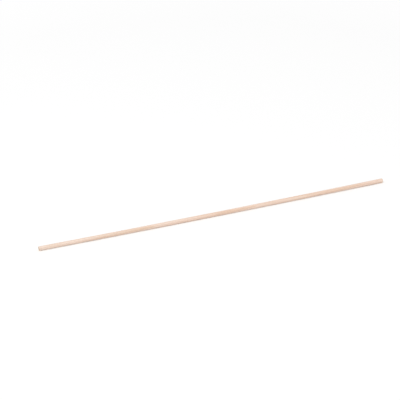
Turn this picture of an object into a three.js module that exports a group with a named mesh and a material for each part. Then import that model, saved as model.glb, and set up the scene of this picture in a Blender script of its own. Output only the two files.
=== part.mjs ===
// A blunt wooden skewer: one round rod of birch, sawn square at both ends.
// Millimetres, +Z up. The rod lies along X with its underside on z = 0, and the origin is under
// the middle of its length.

import * as THREE from "three";

// Driving dimensions
const LENGTH = 300; // from one sawn face to the other
const DIAMETER = 3.5; // of the round shaft
const RIM_RADIUS = 0.25; // rounding that tumbling leaves around each sawn face
const BOW = 1; // how far the middle of the rod stands off a straight line between its ends

// How finely the round surfaces are faceted
const SIDES = 40; // around the shaft; a multiple of four puts a corner on the underside
const SHAFT_STEPS = 40; // along the shaft, which is what follows the bow
const RIM_STEPS = 2; // in each eighth of a turn of a rounded rim

// Pale birch, planed and tumbled but not varnished
function birch() {
  return new THREE.MeshStandardMaterial({ color: "#f0d9c1", roughness: 0.6, metalness: 0 });
}

// Half of the rod's lengthwise section, from the axis at one sawn face to the axis at the other.
// x is the distance from the axis and y runs along it.
function halfSection() {
  const radius = DIAMETER / 2;
  const faceRadius = radius - RIM_RADIUS;
  const end = LENGTH / 2;
  const shaftEnd = end - RIM_RADIUS;
  const outline = new THREE.Path();
  outline.moveTo(0, -end);
  outline.lineTo(faceRadius, -end);
  outline.absarc(faceRadius, -shaftEnd, RIM_RADIUS, -Math.PI / 2, 0);
  for (let step = 1; step <= SHAFT_STEPS; step++) {
    outline.lineTo(radius, THREE.MathUtils.lerp(-shaftEnd, shaftEnd, step / SHAFT_STEPS));
  }
  outline.absarc(faceRadius, shaftEnd, RIM_RADIUS, 0, Math.PI / 2);
  outline.lineTo(0, end);
  return outline.getPoints(RIM_STEPS);
}

// The bow is a parabola in the horizontal plane, so the whole underside stays on one level.
// Half of it lies on each side of the X axis: the ends go to +Y and the middle to -Y.
function bowSideways(geometry) {
  const position = geometry.getAttribute("position");
  for (let i = 0; i < position.count; i++) {
    const along = position.getX(i) / (LENGTH / 2); // -1 at one face, 1 at the other
    position.setY(i, position.getY(i) + BOW * (along ** 2 - 1 / 2));
  }
  geometry.computeVertexNormals();
}

// The rod is turned about its own axis, laid along X, and bowed.
function skewer() {
  const geometry = new THREE.LatheGeometry(halfSection(), SIDES);
  geometry.rotateZ(-Math.PI / 2);
  bowSideways(geometry);
  const rod = new THREE.Mesh(geometry, birch());
  rod.name = "skewer";
  rod.position.z = DIAMETER / 2;
  return rod;
}

const part = new THREE.Group();
part.add(skewer());

export default part;
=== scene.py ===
"""Dresses a blunt birch skewer and lights it on a pale studio floor.

The frame holds the skewer as one smooth rod. Here the rod is made again in a mesh that is fine
enough to carry the marks of its making: fibre lines, torn grain, the cutter's waves, and the saw's
lines on its two ends. Its wood is one solid pattern, so the growth rings and pores that run along
the shaft come out on the sawn ends too.

Lengths are in metres, except where a name or a comment says millimetres.
"""

import logging
import math
from collections.abc import Mapping
from dataclasses import dataclass, field
from enum import Enum
from itertools import pairwise
from typing import Any

import bmesh
import bpy
from mathutils import Matrix, Vector, noise

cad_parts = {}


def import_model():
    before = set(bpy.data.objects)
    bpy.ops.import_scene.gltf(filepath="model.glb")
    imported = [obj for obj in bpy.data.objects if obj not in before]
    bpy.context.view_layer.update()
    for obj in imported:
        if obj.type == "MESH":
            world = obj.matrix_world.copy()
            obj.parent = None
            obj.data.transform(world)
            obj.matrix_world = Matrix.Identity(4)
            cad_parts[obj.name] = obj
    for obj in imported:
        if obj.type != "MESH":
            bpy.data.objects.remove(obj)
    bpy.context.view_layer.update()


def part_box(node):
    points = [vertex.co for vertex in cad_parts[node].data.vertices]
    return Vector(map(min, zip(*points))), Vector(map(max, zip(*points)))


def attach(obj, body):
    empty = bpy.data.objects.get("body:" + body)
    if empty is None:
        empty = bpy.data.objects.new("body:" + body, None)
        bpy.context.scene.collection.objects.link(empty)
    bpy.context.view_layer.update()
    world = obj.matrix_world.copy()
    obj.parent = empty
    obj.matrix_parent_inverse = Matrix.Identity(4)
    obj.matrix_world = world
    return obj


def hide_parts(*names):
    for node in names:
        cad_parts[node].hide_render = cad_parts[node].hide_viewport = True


LOG = logging.getLogger("skewer")
MM = 0.001
RIM = 0.25 * MM  # the frame's rounding of the rod's two rims
WHITE = (1.0, 1.0, 1.0, 1.0)

# Where a Mix node keeps its colour sockets
MIX_FACTOR = 0
MIX_FIRST = 6
MIX_SECOND = 7
MIX_RESULT = 2

# A size along the trunk, outwards from its middle and around it, in millimetres
TreeSize = tuple[float, float, float]

# Red, green, blue and alpha, as a shader takes them
Rgba = tuple[float, float, float, float]


class Layer(str, Enum):
    """The mesh layers that the rod's finish reads, or that a texture is laid out on."""

    TIMBER = "timber"  # where each point lay in the tree, before the rod's bow and its marks
    TORN = "torn"  # how badly the grain is torn, from 0 to 1
    MAP = "OFBake"  # the rod's skin laid out flat


class Seed(float, Enum):
    """Where each kind of mark reads the noise, so that no two of them fall together."""

    TORN_PATCHES = 3.7
    TORN_RIDGES = 9.2
    COARSE_FIBRES = 1.3
    FINE_FIBRES = 6.1
    SWELLS = 8.1
    CHIPS = 12.4
    SAW_WANDER = 5.0
    FIBRE_ENDS = 9.0


def linear(hex_colour: str) -> Rgba:
    """Turns an sRGB hex colour into the linear values that a shader takes.

    Args:
        hex_colour: The colour, such as "#F0D9C1".

    Returns:
        Red, green, blue and alpha, with alpha at 1.
    """
    parts = [int(hex_colour[start : start + 2], 16) / 255 for start in (1, 3, 5)]
    red, green, blue = (p / 12.92 if p <= 0.04045 else ((p + 0.055) / 1.055) ** 2.4 for p in parts)
    return red, green, blue, 1.0


def add_node(
    tree: bpy.types.NodeTree,
    kind: str,
    inputs: Mapping[str | int, Any] | None = None,
    **settings: Any,
) -> bpy.types.Node:
    """Adds a node with its settings and links.

    Args:
        tree: The node tree that the node joins.
        kind: Blender's name for the node.
        inputs: For an input's name or number, the socket that feeds it, or its value.
        **settings: The node's own settings.

    Returns:
        The new node.
    """
    node = tree.nodes.new(kind)
    for name, value in settings.items():
        setattr(node, name, value)
    for key, value in (inputs or {}).items():
        if isinstance(value, bpy.types.NodeSocket):
            tree.links.new(value, node.inputs[key])
        else:
            node.inputs[key].default_value = value
    return node


def new_material(name: str) -> bpy.types.Material:
    """Makes a material whose node tree is still empty.

    Args:
        name: The material's name.

    Returns:
        The material.
    """
    made = bpy.data.materials.new(name)
    made.use_nodes = True
    made.node_tree.nodes.clear()
    return made


def up_from_zero(wave: float) -> float:
    """Turns a value from -1 to 1 into one from 0 to 1."""
    return 0.5 + 0.5 * wave


def smooth_step(low: float, high: float, value: float) -> float:
    """How far value has come from low to high, from 0 to 1, easing in and out."""
    share = min(max((value - low) / (high - low), 0.0), 1.0)
    return share * share * (3 - 2 * share)


@dataclass(frozen=True)
class RodSize:
    """The rod's measures, as the frame gives them."""

    length: float
    radius: float
    bow: float
    rim: float

    @classmethod
    def from_box(cls, low: Vector, high: Vector, rim: float) -> "RodSize":
        """Works the measures out from the rod's box.

        Args:
            low: The box's lowest corner.
            high: The box's highest corner.
            rim: The radius that rounds the rod's two rims.

        Returns:
            The rod's measures.
        """
        length = high.x - low.x
        diameter = high.z - low.z
        widest = (1 - 2 * rim / length) ** 2  # the box is widest where the round shaft ends
        return cls(length, diameter / 2, (high.y - low.y - diameter) / widest, rim)

    @property
    def face_radius(self) -> float:
        """The radius of the flat part of a sawn face."""
        return self.radius - self.rim

    def bowed(self, at: Vector) -> Vector:
        """Moves a point of the straight rod to its place in the bowed rod on its surface."""
        along = at.x / (self.length / 2)
        return Vector((at.x, at.y + self.bow * (along**2 - 0.5), at.z + self.radius))


@dataclass(frozen=True)
class MakingMarks:
    """How the making of the rod marks it. Depths, widths and lengths are in millimetres.

    Every mark is cut inwards, so the rod never grows past its full round.
    """

    oval_depth: float = 0.03  # the cutter leaves the rod a little oval
    oval_twist: float = 55.0  # how far along the rod the oval turns by half a radian
    swell_depth: float = 0.02  # and a little thick and thin along its length
    swell_length: float = 28.0
    fibre_depth: float = 0.024
    fibre_length: float = 8.0
    fibre_width: float = 0.26
    coarse_share: float = 0.35
    fine_share: float = 0.25  # of fibres half as long and half as wide
    torn_depth: float = 0.06  # where the cutter lifted the grain instead of slicing it
    torn_length: float = 3.5
    torn_width: float = 0.24
    torn_patch_length: float = 26.0
    torn_patch_width: float = 1.8
    torn_noise: tuple[float, float] = (0.12, 0.5)  # where the tearing starts, and where it is full
    ridge_sharpness: float = 2.2  # of the fibres that stand up where the grain is torn
    wave_depth: float = 0.005  # the turning cutter's marks, nearly worn away by tumbling
    wave_pitch: float = 2.4
    saw_depth: float = 0.03
    saw_pitch: float = 0.42
    saw_wander: float = 0.12
    saw_turn: float = 0.6  # radians from level, the way that the saw went through
    face_tilt: float = 0.05  # out of square across a whole face
    fibre_end_depth: float = 0.02
    fibre_end_width: float = 0.16
    chip_depth: float = 0.09  # along the rims, where fibres broke away behind the saw
    chip_width: float = 0.2
    chip_length: float = 1.6
    chip_reach: float = 0.6
    chip_noise: tuple[float, float] = (0.2, 0.6)  # where a chip starts, and where it is full

    def grain(self, at: Vector, length: float, width: float, seed: Seed) -> float:
        """Noise drawn out along the rod.

        Args:
            at: A point of the straight rod, in millimetres.
            length: The length of the noise's cells along the rod.
            width: Their width across it.
            seed: Where the noise is read.

        Returns:
            A value from about -1 to 1.
        """
        return noise.noise(Vector((at.x / length + seed, at.y / width - seed, at.z / width)))

    def torn(self, at: Vector) -> float:
        """How badly the grain is torn at a point of the straight rod, from 0 to 1."""
        patch = self.grain(at, self.torn_patch_length, self.torn_patch_width, Seed.TORN_PATCHES)
        return smooth_step(*self.torn_noise, patch)

    def shaft_depth(self, at: Vector, torn: float) -> float:
        """How deep the marks are at a point of the shaft.

        Args:
            at: The point of the straight rod, in millimetres.
            torn: How badly the grain is torn there.

        Returns:
            The depth below the full round, in millimetres.
        """
        angle = math.atan2(at.z, at.y)
        oval = math.cos(2 * angle + at.x / self.oval_twist)
        swell = noise.noise(Vector((at.x / self.swell_length, Seed.SWELLS, 0.0)))
        coarse = self.grain(at, self.fibre_length, self.fibre_width, Seed.COARSE_FIBRES)
        fine = self.grain(at, self.fibre_length / 2, self.fibre_width / 2, Seed.FINE_FIBRES)
        fibres = 0.5 + self.coarse_share * coarse + self.fine_share * fine
        ridges = abs(self.grain(at, self.torn_length, self.torn_width, Seed.TORN_RIDGES))
        wave = math.cos(math.tau * at.x / self.wave_pitch + angle)
        return (
            self.oval_depth * up_from_zero(oval)
            + self.swell_depth * up_from_zero(swell)
            + self.fibre_depth * min(max(fibres, 0.0), 1.0)
            + self.torn_depth * torn * max(1 - ridges * self.ridge_sharpness, 0.0)
            + self.wave_depth * up_from_zero(wave)
        )

    def chip(self, at: Vector, from_end: float) -> float:
        """How deep the rim is chipped at a point.

        Args:
            at: The point of the straight rod, in millimetres.
            from_end: How far along the rod it is from the nearer sawn end, in millimetres.

        Returns:
            The depth below the whole rim, in millimetres.
        """
        near = 1 - smooth_step(0.0, self.chip_reach, from_end)
        loose = self.grain(at, self.chip_length, self.chip_width, Seed.CHIPS)
        return self.chip_depth * near * smooth_step(*self.chip_noise, loose)

    def face_depth(self, at: Vector, side: float, radius: float) -> float:
        """How deep the saw's marks are at a point of a sawn face.

        Args:
            at: The point of the straight rod, in millimetres.
            side: -1 on the left face and 1 on the right one.
            radius: The rod's radius, in millimetres.

        Returns:
            The depth below the flat face, in millimetres.
        """
        turn = self.saw_turn * side
        across = at.y * math.cos(turn) + at.z * math.sin(turn)
        wander = noise.noise(Vector((at.y, at.z, side * Seed.SAW_WANDER)))
        lines = math.cos(math.tau * (across + self.saw_wander * wander) / self.saw_pitch)
        width = self.fibre_end_width
        ends = noise.noise(Vector((at.y / width, at.z / width, side * Seed.FIBRE_ENDS)))
        return (
            self.saw_depth * up_from_zero(lines)
            + self.fibre_end_depth * up_from_zero(ends)
            + self.face_tilt * up_from_zero(across / radius)
        )


@dataclass(frozen=True)
class Tint:
    """A colour that is laid over the wood, and how strongly."""

    colour: str
    strength: float


@dataclass(frozen=True)
class Cloud:
    """Noise with cells of one size in the tree, cut into light and dark."""

    cell: TreeSize
    low: float  # the noise that comes out as 0
    high: float  # and as 1
    detail: float = 2.0  # how many times finer noise is laid over it

    def mask(
        self, tree: bpy.types.NodeTree, place: bpy.types.NodeSocket
    ) -> bpy.types.NodeSocket:
        """Adds the noise.

        Args:
            tree: The material's node tree.
            place: The place in the tree, in millimetres.

        Returns:
            A value from 0 to 1.
        """
        scaled = add_node(
            tree, "ShaderNodeVectorMath", {0: place, 1: self.cell}, operation="DIVIDE"
        )
        cloudy = add_node(
            tree,
            "ShaderNodeTexNoise",
            {"Vector": scaled.outputs[0], "Scale": 1.0, "Detail": self.detail},
        )
        return add_node(
            tree,
            "ShaderNodeMapRange",
            {"Value": cloudy.outputs["Fac"], "From Min": self.low, "From Max": self.high},
            interpolation_type="SMOOTHSTEP",
        ).outputs[0]


@dataclass(frozen=True)
class Dashes:
    """Short dashes along the grain, such as cut-open pores."""

    cell: TreeSize  # the space that one dash has
    reach: float  # from its middle, as a share of its space
    share: float  # of the spaces that hold a dash
    core: float = 0.4  # the share of its reach where it is at its darkest

    def mask(
        self, tree: bpy.types.NodeTree, place: bpy.types.NodeSocket
    ) -> bpy.types.NodeSocket:
        """Adds the dashes.

        Args:
            tree: The material's node tree.
            place: The place in the tree, in millimetres.

        Returns:
            A value from 0 between the dashes to 1 at their middles.
        """
        scaled = add_node(
            tree, "ShaderNodeVectorMath", {0: place, 1: self.cell}, operation="DIVIDE"
        )
        spots = add_node(
            tree,
            "ShaderNodeTexVoronoi",
            {"Vector": scaled.outputs[0], "Scale": 1.0, "Randomness": 1.0},
        )
        dash = add_node(
            tree,
            "ShaderNodeMapRange",
            {
                "Value": spots.outputs["Distance"],
                "From Min": self.reach,
                "From Max": self.reach * self.core,
            },
            interpolation_type="SMOOTHSTEP",
        )
        # A cell's colour also says where its dash lies, so the choice takes a number made from it
        chance = add_node(tree, "ShaderNodeTexWhiteNoise", {"Vector": spots.outputs["Color"]})
        held = add_node(
            tree,
            "ShaderNodeMath",
            {0: chance.outputs["Value"], 1: self.share},
            operation="LESS_THAN",
        )
        return add_node(
            tree, "ShaderNodeMath", {0: dash.outputs[0], 1: held.outputs[0]}, operation="MULTIPLY"
        ).outputs[0]


@dataclass(frozen=True)
class GrowthRings:
    """The tree's yearly rings: pale spring wood that darkens to a sharp edge. In millimetres."""

    width: float = 1.5
    pith_distance: float = 26.0  # from the rod to the tree's middle
    run_out: float = 0.016  # how fast the grain runs out of the rod, for each mm along it
    wave_cell: TreeSize = (60.0, 5.0, 5.0)
    wave_height: float = 1.3
    wave_detail: float = 6.0
    summer_start: float = 0.5  # as a share of a year
    summer_end: float = 0.98

    def mask(
        self, tree: bpy.types.NodeTree, place: bpy.types.NodeSocket
    ) -> bpy.types.NodeSocket:
        """Adds the rings.

        Args:
            tree: The material's node tree.
            place: The place in the tree, in millimetres.

        Returns:
            A value from 0 in spring wood to 1 in summer wood.
        """
        cell = add_node(
            tree, "ShaderNodeVectorMath", {0: place, 1: self.wave_cell}, operation="DIVIDE"
        )
        wave = add_node(
            tree,
            "ShaderNodeTexNoise",
            {"Vector": cell.outputs[0], "Scale": 1.0, "Detail": self.wave_detail},
        )
        pith = (0.0, self.pith_distance, 0.0)
        from_pith = add_node(tree, "ShaderNodeVectorMath", {0: place, 1: pith}, operation="ADD")
        across = add_node(
            tree,
            "ShaderNodeVectorMath",
            {0: from_pith.outputs[0], 1: (0.0, 1.0, 1.0)},
            operation="MULTIPLY",
        )
        distance = add_node(
            tree, "ShaderNodeVectorMath", {0: across.outputs[0]}, operation="LENGTH"
        )
        along = add_node(tree, "ShaderNodeSeparateXYZ", {0: place})
        sloped = add_node(
            tree,
            "ShaderNodeMath",
            {0: along.outputs["X"], 1: self.run_out, 2: distance.outputs["Value"]},
            operation="MULTIPLY_ADD",
        )
        depth = add_node(
            tree,
            "ShaderNodeMath",
            {0: wave.outputs["Fac"], 1: self.wave_height, 2: sloped.outputs[0]},
            operation="MULTIPLY_ADD",
        )
        years = add_node(
            tree, "ShaderNodeMath", {0: depth.outputs[0], 1: self.width}, operation="DIVIDE"
        )
        season = add_node(tree, "ShaderNodeMath", {0: years.outputs[0]}, operation="FRACT")
        return add_node(
            tree,
            "ShaderNodeMapRange",
            {
                "Value": season.outputs[0],
                "From Min": self.summer_start,
                "From Max": self.summer_end,
            },
            interpolation_type="SMOOTHSTEP",
        ).outputs[0]


@dataclass(frozen=True)
class WoodMasks:
    """Where each thing in the wood is, from 0 to 1, as sockets of one node tree."""

    place: bpy.types.NodeSocket  # not a mask, but the place in the tree, in millimetres
    rings: bpy.types.NodeSocket
    fibres: bpy.types.NodeSocket
    rays: bpy.types.NodeSocket
    pores: bpy.types.NodeSocket
    scratches: bpy.types.NodeSocket
    torn: bpy.types.NodeSocket
    sawn: bpy.types.NodeSocket


@dataclass(frozen=True)
class BareBirch:
    """Birch, turned to a rod, tumbled smooth and left without oil or varnish.

    It is a pale, close-grained wood with pores too small to see singly. That gives a matt cream
    colour with long, quiet bands where the growth rings run out of the surface, a pinkish drift
    from streak to streak, fine dashes of cut-open pores and rays, and now and then a brown fleck.
    Sawn across, it is darker and warmer, because the light goes down into the open pores.
    """

    name: str = "bare_tumbled_birch"
    roughness: float = 0.62
    torn_roughness: float = 0.2  # added where the grain is torn
    ior: float = 1.5
    specular: float = 0.35
    bump_height: float = 0.035  # millimetres
    bump_strength: float = 0.7

    # The patterns in the wood
    pith_turn: float = math.radians(35)  # the way to the tree's middle, seen along the rod
    rings: GrowthRings = GrowthRings()
    drift: Cloud = Cloud((85.0, 5.0, 5.0), 0.42, 0.6)
    streaks: Cloud = Cloud((40.0, 0.8, 0.8), 0.5, 0.74)
    # Birch fibres are 0.02 mm wide, which is too fine to show, so many are drawn as one
    fibres: Cloud = Cloud((8.0, 0.15, 0.15), 0.35, 0.7)
    rays: Cloud = Cloud((2.4, 1.6, 0.11), 0.42, 0.6)
    # Birch pores are 0.07 mm wide, which is too fine to show, so they are drawn coarser. They sit
    # in short rows that point outwards.
    pores: Dashes = Dashes((4.2, 0.2, 0.12), 0.36, 0.5)
    long_pores: Dashes = Dashes((8.0, 0.28, 0.2), 0.28, 0.4)
    flecks: Dashes = Dashes((26.0, 1.1, 1.7), 0.15, 0.3)
    scratches: Cloud = Cloud((50.0, 0.13, 3.5), 0.35, 0.7)  # loose fibre along the saw's lines
    scratch_turn: float = 0.9  # radians, from the way around the tree
    sawn_depth: float = 0.14  # millimetres in from a sawn face that the end's colour reaches

    # The colours along the shaft
    spring: str = "#FEEADC"
    summer: Tint = Tint("#E9C6A8", 0.64)
    drift_blush: Tint = Tint("#F4D0BB", 0.38)
    streak_blush: Tint = Tint("#F4D0BB", 0.55)
    fibre: Tint = Tint("#EAC8AB", 0.2)
    ray: Tint = Tint("#DDB697", 0.15)
    # Painted shade: the sunken patches of torn grain are darkened, as though shaded among their
    # lifted fibres
    torn: Tint = Tint("#EAC8AB", 0.25)
    pore: Tint = Tint("#C29671", 0.33)
    long_pore: Tint = Tint("#C29671", 0.4)
    fleck: Tint = Tint("#AE8059", 0.6)

    # The colours on the sawn ends, over those of the shaft
    sawn: Tint = Tint("#DDBA92", 0.8)
    sawn_summer: Tint = Tint("#BE936A", 0.4)
    sawn_ray: Tint = Tint("#EFD9BC", 0.3)
    scratch: Tint = Tint("#F3DFC6", 0.35)
    sawn_pore: Tint = Tint("#8E6947", 0.26)

    def in_tree(self, at: Vector) -> Vector:
        """Gives a point of the straight rod its place in the tree: up, out and around."""
        return Matrix.Rotation(self.pith_turn, 3, "X") @ at

    def material(self, length: float) -> bpy.types.Material:
        """Makes the material.

        Args:
            length: The rod's length, in metres, which says where its sawn faces are.

        Returns:
            The material.
        """
        made = new_material(self.name)
        tree = made.node_tree
        masks = self.masks(tree, length)
        roughness = add_node(
            tree,
            "ShaderNodeMath",
            {0: masks.torn, 1: self.torn_roughness, 2: self.roughness},
            operation="MULTIPLY_ADD",
        )
        shader = add_node(
            tree,
            "ShaderNodeBsdfPrincipled",
            {
                "Base Color": self.colour(tree, masks),
                "Roughness": roughness.outputs[0],
                "IOR": self.ior,
                "Specular IOR Level": self.specular,
                "Normal": self.relief(tree, masks),
            },
        )
        add_node(tree, "ShaderNodeOutputMaterial", {"Surface": shader.outputs[0]})
        return made

    def masks(self, tree: bpy.types.NodeTree, length: float) -> WoodMasks:
        """Adds the patterns that the colour and the relief share.

        Args:
            tree: The material's node tree.
            length: The rod's length, in metres.

        Returns:
            The patterns.
        """
        timber = add_node(tree, "ShaderNodeAttribute", attribute_name=Layer.TIMBER.value)
        place = add_node(
            tree,
            "ShaderNodeVectorMath",
            {0: timber.outputs["Vector"], "Scale": 1 / MM},
            operation="SCALE",
        ).outputs[0]
        turned = add_node(
            tree,
            "ShaderNodeVectorRotate",
            {"Vector": place, "Angle": self.scratch_turn},
            rotation_type="X_AXIS",
        )
        torn = add_node(tree, "ShaderNodeAttribute", attribute_name=Layer.TORN.value)
        return WoodMasks(
            place=place,
            rings=self.rings.mask(tree, place),
            fibres=self.fibres.mask(tree, place),
            rays=self.rays.mask(tree, place),
            pores=self.pores.mask(tree, place),
            scratches=self.scratches.mask(tree, turned.outputs[0]),
            torn=torn.outputs["Fac"],
            sawn=self.sawn_mask(tree, place, length),
        )

    def sawn_mask(
        self, tree: bpy.types.NodeTree, place: bpy.types.NodeSocket, length: float
    ) -> bpy.types.NodeSocket:
        """Finds the sawn faces.

        Args:
            tree: The material's node tree.
            place: The place in the tree, in millimetres.
            length: The rod's length, in metres.

        Returns:
            A value from 0 on the shaft to 1 on the two sawn faces.
        """
        along = add_node(tree, "ShaderNodeSeparateXYZ", {0: place})
        from_middle = add_node(
            tree, "ShaderNodeMath", {0: along.outputs["X"]}, operation="ABSOLUTE"
        )
        end = length / 2 / MM
        return add_node(
            tree,
            "ShaderNodeMapRange",
            {"Value": from_middle.outputs[0], "From Min": end - self.sawn_depth, "From Max": end},
            interpolation_type="SMOOTHSTEP",
        ).outputs[0]

    def colour(self, tree: bpy.types.NodeTree, masks: WoodMasks) -> bpy.types.NodeSocket:
        """Adds the wood's colour: that of the shaft, with that of the ends over it.

        Args:
            tree: The material's node tree.
            masks: Where each thing in the wood is.

        Returns:
            The colour.
        """
        along_the_shaft = (
            (masks.rings, self.summer),
            (self.drift.mask(tree, masks.place), self.drift_blush),
            (self.streaks.mask(tree, masks.place), self.streak_blush),
            (masks.fibres, self.fibre),
            (masks.rays, self.ray),
            # painted shade in the sunken patches of torn grain
            (masks.torn, self.torn),
            (masks.pores, self.pore),
            (self.long_pores.mask(tree, masks.place), self.long_pore),
            (self.flecks.mask(tree, masks.place), self.fleck),
        )
        on_the_ends = (
            (masks.sawn, self.sawn),
            (masks.rings, self.sawn_summer),
            (masks.rays, self.sawn_ray),
            (masks.scratches, self.scratch),
            (masks.pores, self.sawn_pore),
        )
        shaft = self.laid_over(tree, linear(self.spring), along_the_shaft, 1.0)
        return self.laid_over(tree, shaft, on_the_ends, masks.sawn)

    def laid_over(
        self,
        tree: bpy.types.NodeTree,
        under: bpy.types.NodeSocket | Rgba,
        layers: tuple[tuple[bpy.types.NodeSocket, Tint], ...],
        where: bpy.types.NodeSocket | float,
    ) -> bpy.types.NodeSocket:
        """Lays tints over a colour.

        Args:
            tree: The material's node tree.
            under: The colour that they lie on.
            layers: Each tint, after where it is, from 0 to 1.
            where: Where there are such tints at all, from 0 to 1.

        Returns:
            The colour of them all.
        """
        colour = under
        for mask, tint in layers:
            share = add_node(
                tree, "ShaderNodeMath", {0: mask, 1: tint.strength}, operation="MULTIPLY"
            )
            held = add_node(
                tree, "ShaderNodeMath", {0: share.outputs[0], 1: where}, operation="MULTIPLY"
            )
            inputs = {
                MIX_FACTOR: held.outputs[0],
                MIX_FIRST: colour,
                MIX_SECOND: linear(tint.colour),
            }
            mixed = add_node(tree, "ShaderNodeMix", inputs, data_type="RGBA")
            colour = mixed.outputs[MIX_RESULT]
        return colour

    def relief(self, tree: bpy.types.NodeTree, masks: WoodMasks) -> bpy.types.NodeSocket:
        """Adds what is too fine for the mesh: fibres, the saw's scratches and open pores.

        Args:
            tree: The material's node tree.
            masks: Where each thing in the wood is.

        Returns:
            The surface's direction.
        """
        raised = add_node(
            tree,
            "ShaderNodeMapRange",
            {"Value": masks.sawn, "To Min": masks.fibres, "To Max": masks.scratches},
        )
        height = add_node(
            tree,
            "ShaderNodeMath",
            {0: raised.outputs[0], 1: masks.pores},
            operation="SUBTRACT",
        )
        return add_node(
            tree,
            "ShaderNodeBump",
            {
                "Strength": self.bump_strength,
                "Distance": self.bump_height * MM,
                "Height": height.outputs[0],
            },
        ).outputs[0]


@dataclass(frozen=True)
class SkinMap:
    """The rod's skin laid out flat: the shaft in rows, and below them the two sawn ends."""

    size: RodSize
    rows: int = 4  # the shaft is cut into this many lengths, one above the other
    gap: float = 0.006  # between them, as a share of the map
    ends: float = 0.12  # the share of the map's height that the sawn ends get

    def lay_out(self, bm: bmesh.types.BMesh) -> None:
        """Gives each corner of the rod's faces its place on the map.

        Args:
            bm: The straight smooth rod.
        """
        flat = bm.loops.layers.uv.new(Layer.MAP.value)
        shaft = self.size.length - 2 * self.size.rim
        for face in bm.faces:
            middle = face.calc_center_median()
            on_shaft = abs(middle.x) < shaft / 2
            for loop in face.loops:
                if on_shaft:
                    loop[flat].uv = self.shaft_place(loop.vert.co, middle, shaft)
                else:
                    loop[flat].uv = self.end_place(loop.vert.co)

    def shaft_place(self, at: Vector, middle: Vector, shaft: float) -> tuple[float, float]:
        """Gives a point of the shaft its place on the map, with the seam along the underside.

        Args:
            at: The point, on the straight rod.
            middle: The middle of its face, which says which row the whole face lies in.
            shaft: The length of the shaft between its rims.

        Returns:
            The place on the map.
        """
        row = min(int((middle.x / shaft + 0.5) * self.rows), self.rows - 1)
        along = (at.x / shaft + 0.5) * self.rows - row
        turn = math.atan2(middle.y, middle.z)
        around = turn + math.remainder(math.atan2(at.y, at.z) - turn, math.tau)
        row_height = (1 - self.ends) / self.rows
        return (
            self.gap + along * (1 - 2 * self.gap),
            self.ends
            + row * row_height
            + self.gap
            + (around / math.tau + 0.5) * (row_height - 2 * self.gap),
        )

    def end_place(self, at: Vector) -> tuple[float, float]:
        """Gives a point of a sawn face or its rim a place on the map.

        Args:
            at: The point, on the straight rod.

        Returns:
            The place on the map.
        """
        size = self.size
        out = math.hypot(at.y, at.z)
        reach = out
        if out > size.face_radius:
            up_the_rim = max(abs(at.x) - (size.length / 2 - size.rim), 0.0)
            reach = size.face_radius + size.rim * math.atan2(out - size.face_radius, up_the_rim)
        full_reach = size.face_radius + size.rim * math.pi / 2
        from_centre = (self.ends / 2 - self.gap) * reach / full_reach
        across, up = Vector((at.y, at.z)).normalized() * from_centre
        side = math.copysign(1.0, at.x)
        centre = self.ends * (1 + side / 2)  # the left end's disc comes first, then the right end's
        return centre + side * across, self.ends / 2 + up


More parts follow.
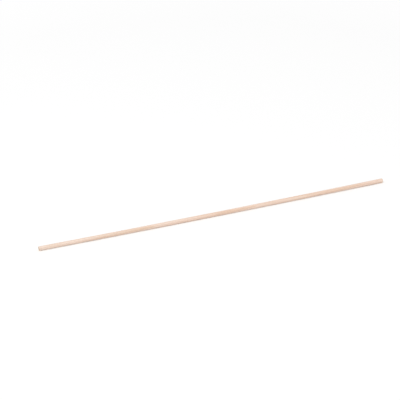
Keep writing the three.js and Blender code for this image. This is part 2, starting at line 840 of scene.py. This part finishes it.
@dataclass
class Skewer:
    """The skewer: one round shaft between two sawn faces with rounded rims."""

    size: RodSize
    name: str = "birch_skewer"
    marks: MakingMarks = field(default_factory=MakingMarks)
    finish: BareBirch = field(default_factory=BareBirch)
    sides: int = 120  # around the rod
    shaft_steps: int = 760  # along it, from rim to rim
    rim_steps: int = 3  # in the quarter turn that rounds each rim
    face_rings: int = 16  # from the rim to the middle of each sawn face

    def build(self) -> bpy.types.Object:
        """Makes the rod.

        Returns:
            The rod, in its place and with its finish.
        """
        bm = self.plain_rod()
        SkinMap(self.size).lay_out(bm)
        timber = bm.verts.layers.float_vector.new(Layer.TIMBER.value)
        torn = bm.verts.layers.float.new(Layer.TORN.value)
        for vert in bm.verts:
            vert[timber] = self.finish.in_tree(vert.co)
            vert[torn] = self.marks.torn(vert.co / MM)
            vert.co = self.size.bowed(self.marked(vert.co, vert[torn]))
        bmesh.ops.recalc_face_normals(bm, faces=bm.faces)
        for face in bm.faces:
            face.smooth = True
        mesh = bpy.data.meshes.new(self.name)
        bm.to_mesh(mesh)
        bm.free()
        mesh.materials.append(self.finish.material(self.size.length))
        rod = bpy.data.objects.new(self.name, mesh)
        bpy.context.scene.collection.objects.link(rod)
        return rod

    def plain_rod(self) -> bmesh.types.BMesh:
        """Makes a straight smooth rod along X, centred on the origin.

        Returns:
            The rod, in faces that are small enough for the marks of its making.
        """
        size = self.size
        bm = bmesh.new()
        bmesh.ops.create_cone(
            bm,
            cap_ends=True,
            cap_tris=False,
            segments=self.sides,
            radius1=size.radius,
            radius2=size.radius,
            depth=size.length - 2 * size.rim,
        )
        bmesh.ops.rotate(bm, verts=bm.verts, matrix=Matrix.Rotation(math.pi / 2, 3, "Y"))
        bm.normal_update()  # the rotation leaves them behind, and the insets go by them
        turns = [math.pi / 2 * step / self.rim_steps for step in range(self.rim_steps + 1)]
        ring = size.face_radius / (self.face_rings + 1)
        for face in self.sawn_faces(bm):
            # The rim is rounded by insets, because a bevel orders its faces anew in each run
            for before, after in pairwise(turns):
                bmesh.ops.inset_individual(
                    bm,
                    faces=[face],
                    thickness=size.rim * (math.cos(before) - math.cos(after)),
                    depth=size.rim * (math.sin(after) - math.sin(before)),
                )
            for _ in range(self.face_rings):
                bmesh.ops.inset_individual(bm, faces=[face], thickness=ring)
            bmesh.ops.poke(bm, faces=[face])
        lengthwise = [edge for edge in bm.edges if edge.calc_length() > size.length / 2]
        bmesh.ops.subdivide_edges(bm, edges=lengthwise, cuts=self.shaft_steps - 1)
        return bm

    def sawn_faces(self, bm: bmesh.types.BMesh) -> list[bmesh.types.BMFace]:
        """Finds the two faces that close the rod, while each is still one face."""
        return [face for face in bm.faces if len(face.verts) == self.sides]

    def marked(self, at: Vector, torn: float) -> Vector:
        """Moves a point of the straight rod inwards by the depth of its marks.

        Args:
            at: The point, on the smooth rod.
            torn: How badly the grain is torn there, from 0 to 1.

        Returns:
            The point on the marked rod.
        """
        size, marks = self.size, self.marks
        place = at / MM
        out = math.hypot(at.y, at.z)
        from_end = size.length / 2 - abs(at.x)
        on_shaft = smooth_step(size.face_radius, size.radius, out)
        on_face = 1 - smooth_step(0, size.rim, from_end)
        depth = marks.shaft_depth(place, torn) + marks.chip(place, from_end / MM)
        # Near the axis on_shaft is 0, so there the divisor only has to be more than 0
        scale = 1 - on_shaft * depth * MM / max(out, size.rim)
        side = math.copysign(1.0, at.x)
        sunk = on_face * marks.face_depth(place, side, size.radius / MM) * MM
        return Vector((at.x - side * sunk, at.y * scale, at.z * scale))


def seen_by_eye(tree: bpy.types.NodeTree) -> bpy.types.NodeSocket:
    """Says whether a ray comes from the camera, straight or by way of a shiny or clear surface.

    Args:
        tree: The node tree that asks.

    Returns:
        1 for such a ray and 0 for one that only carries light.
    """
    ray = add_node(tree, "ShaderNodeLightPath")
    straight = add_node(
        tree,
        "ShaderNodeMath",
        {0: ray.outputs["Is Camera Ray"], 1: ray.outputs["Is Glossy Ray"]},
        operation="MAXIMUM",
    )
    return add_node(
        tree,
        "ShaderNodeMath",
        {0: straight.outputs[0], 1: ray.outputs["Is Transmission Ray"]},
        operation="MAXIMUM",
    ).outputs[0]


@dataclass(frozen=True)
class WhiteFloor:
    """A studio's matt white paper, so evenly lit that it goes white, apart from shadows on it.

    From beneath it is clear, so it never hides the skewer.
    """

    name: str = "matt_white_paper"
    paper: str = "#F4F4F4"
    near: float = 0.4  # metres from the skewer, where the paper starts to get less of the lamp
    far: float = 2.5
    near_lift: float = 0.16  # added only to what the camera sees, to take lit paper to full white
    far_lift: float = 0.6

    def material(self) -> bpy.types.Material:
        """Makes the material.

        Returns:
            The material.
        """
        made = new_material(self.name)
        tree = made.node_tree
        matt = add_node(tree, "ShaderNodeBsdfDiffuse", {"Color": linear(self.paper)})
        place = add_node(tree, "ShaderNodeTexCoord")
        away = add_node(
            tree, "ShaderNodeVectorMath", {0: place.outputs["Object"]}, operation="LENGTH"
        )
        lift = add_node(
            tree,
            "ShaderNodeMapRange",
            {
                "Value": away.outputs["Value"],
                "From Min": self.near,
                "From Max": self.far,
                "To Min": self.near_lift,
                "To Max": self.far_lift,
            },
        )
        strength = add_node(
            tree,
            "ShaderNodeMath",
            {0: seen_by_eye(tree), 1: lift.outputs[0]},
            operation="MULTIPLY",
        )
        glow = add_node(
            tree, "ShaderNodeEmission", {"Color": WHITE, "Strength": strength.outputs[0]}
        )
        lit = add_node(tree, "ShaderNodeAddShader", {0: matt.outputs[0], 1: glow.outputs[0]})
        side = add_node(tree, "ShaderNodeNewGeometry")
        clear = add_node(tree, "ShaderNodeBsdfTransparent")
        both = add_node(
            tree,
            "ShaderNodeMixShader",
            {0: side.outputs["Backfacing"], 1: lit.outputs[0], 2: clear.outputs[0]},
        )
        add_node(tree, "ShaderNodeOutputMaterial", {"Surface": both.outputs[0]})
        return made


@dataclass
class Studio:
    """A pale floor under one large soft lamp, in a white room."""

    floor_radius: float = 4.0
    floor_sides: int = 96
    floor_finish: WhiteFloor = field(default_factory=WhiteFloor)
    room_light: float = 0.62  # how bright the white room is, as a share of plain white
    lamp_side: float = 2.4
    lamp_place: tuple[float, float, float] = (-0.9, -1.0, 3.0)
    lamp_power: float = 45.0

    def build(self) -> None:
        """Makes the floor, the lamp and the room."""
        self.build_floor()
        self.build_lamp()
        self.build_room()

    def build_floor(self) -> None:
        """Makes the floor, with its white paper finish."""
        bm = bmesh.new()
        bmesh.ops.create_circle(
            bm, cap_ends=True, segments=self.floor_sides, radius=self.floor_radius
        )
        mesh = bpy.data.meshes.new("studio_floor")
        bm.to_mesh(mesh)
        bm.free()
        floor = bpy.data.objects.new("studio_floor", mesh)
        bpy.context.scene.collection.objects.link(floor)
        mesh.materials.append(self.floor_finish.material())

    def build_lamp(self) -> None:
        """Makes the soft lamp, aimed at the skewer's middle."""
        light = bpy.data.lights.new("soft_lamp", "AREA")
        light.shape = "SQUARE"
        light.size = self.lamp_side
        light.energy = self.lamp_power
        lamp = bpy.data.objects.new("soft_lamp", light)
        lamp.location = self.lamp_place
        lamp.rotation_euler = (-lamp.location).to_track_quat("-Z", "Y").to_euler()
        bpy.context.scene.collection.objects.link(lamp)

    def build_room(self) -> None:
        """Makes the white room, which looks fully white but lights the skewer less."""
        room = bpy.data.worlds.new("white_room")
        room.use_nodes = True
        tree = room.node_tree
        tree.nodes.clear()
        brightness = add_node(
            tree,
            "ShaderNodeMapRange",
            {"Value": seen_by_eye(tree), "To Min": self.room_light, "To Max": 1.0},
        )
        white = add_node(
            tree,
            "ShaderNodeBackground",
            {"Color": WHITE, "Strength": brightness.outputs[0]},
        )
        add_node(tree, "ShaderNodeOutputWorld", {"Surface": white.outputs[0]})
        bpy.context.scene.world = room


@dataclass(frozen=True)
class Viewpoint:
    """The photographer's place: level, to the left of the skewer and above it, with a long lens."""

    azimuth: float = math.radians(-21.74)
    elevation: float = math.radians(29.3)
    distance: float = 1.3405
    aim_right: float = -13.71 * MM  # what the lens points at, beside the skewer's middle
    aim_up: float = 12.50 * MM  # and above it
    lens: float = 148.95  # in millimetres, as the sensor is
    sensor: float = 36.0
    nearest: float = 0.05
    farthest: float = 50.0

    def build(self) -> None:
        """Makes the camera and has the scene use it."""
        data = bpy.data.cameras.new("long_lens")
        data.lens = self.lens
        data.sensor_width = self.sensor
        data.clip_start = self.nearest
        data.clip_end = self.farthest
        camera = bpy.data.objects.new("long_lens", data)
        back = Vector(
            (
                math.sin(self.azimuth) * math.cos(self.elevation),
                -math.cos(self.azimuth) * math.cos(self.elevation),
                math.sin(self.elevation),
            )
        )
        right = Vector((math.cos(self.azimuth), math.sin(self.azimuth), 0.0))
        up = back.cross(right)
        camera.location = back * self.distance + right * self.aim_right + up * self.aim_up
        camera.rotation_euler = (-back).to_track_quat("-Z", "Y").to_euler()
        bpy.context.scene.collection.objects.link(camera)
        bpy.context.scene.camera = camera


def main() -> None:
    """Builds the skewer around its frame, and then the studio and the camera."""
    logging.basicConfig(level=logging.INFO, format="%(name)s: %(message)s")
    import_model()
    bpy.context.scene.view_settings.view_transform = "Standard"

    skewer = Skewer(RodSize.from_box(*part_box("skewer"), rim=RIM))
    rod = skewer.build()
    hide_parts("skewer")
    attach(rod, "root")
    LOG.info(
        "%s: %.1f mm long, %.2f mm across, bowed by %.2f mm, %d faces",
        rod.name,
        skewer.size.length / MM,
        2 * skewer.size.radius / MM,
        skewer.size.bow / MM,
        len(rod.data.polygons),
    )

    Studio().build()
    LOG.info("studio: floor, lamp and room")
    Viewpoint().build()
    LOG.info("camera: in the photographer's place")


if __name__ == "__main__":
    main()
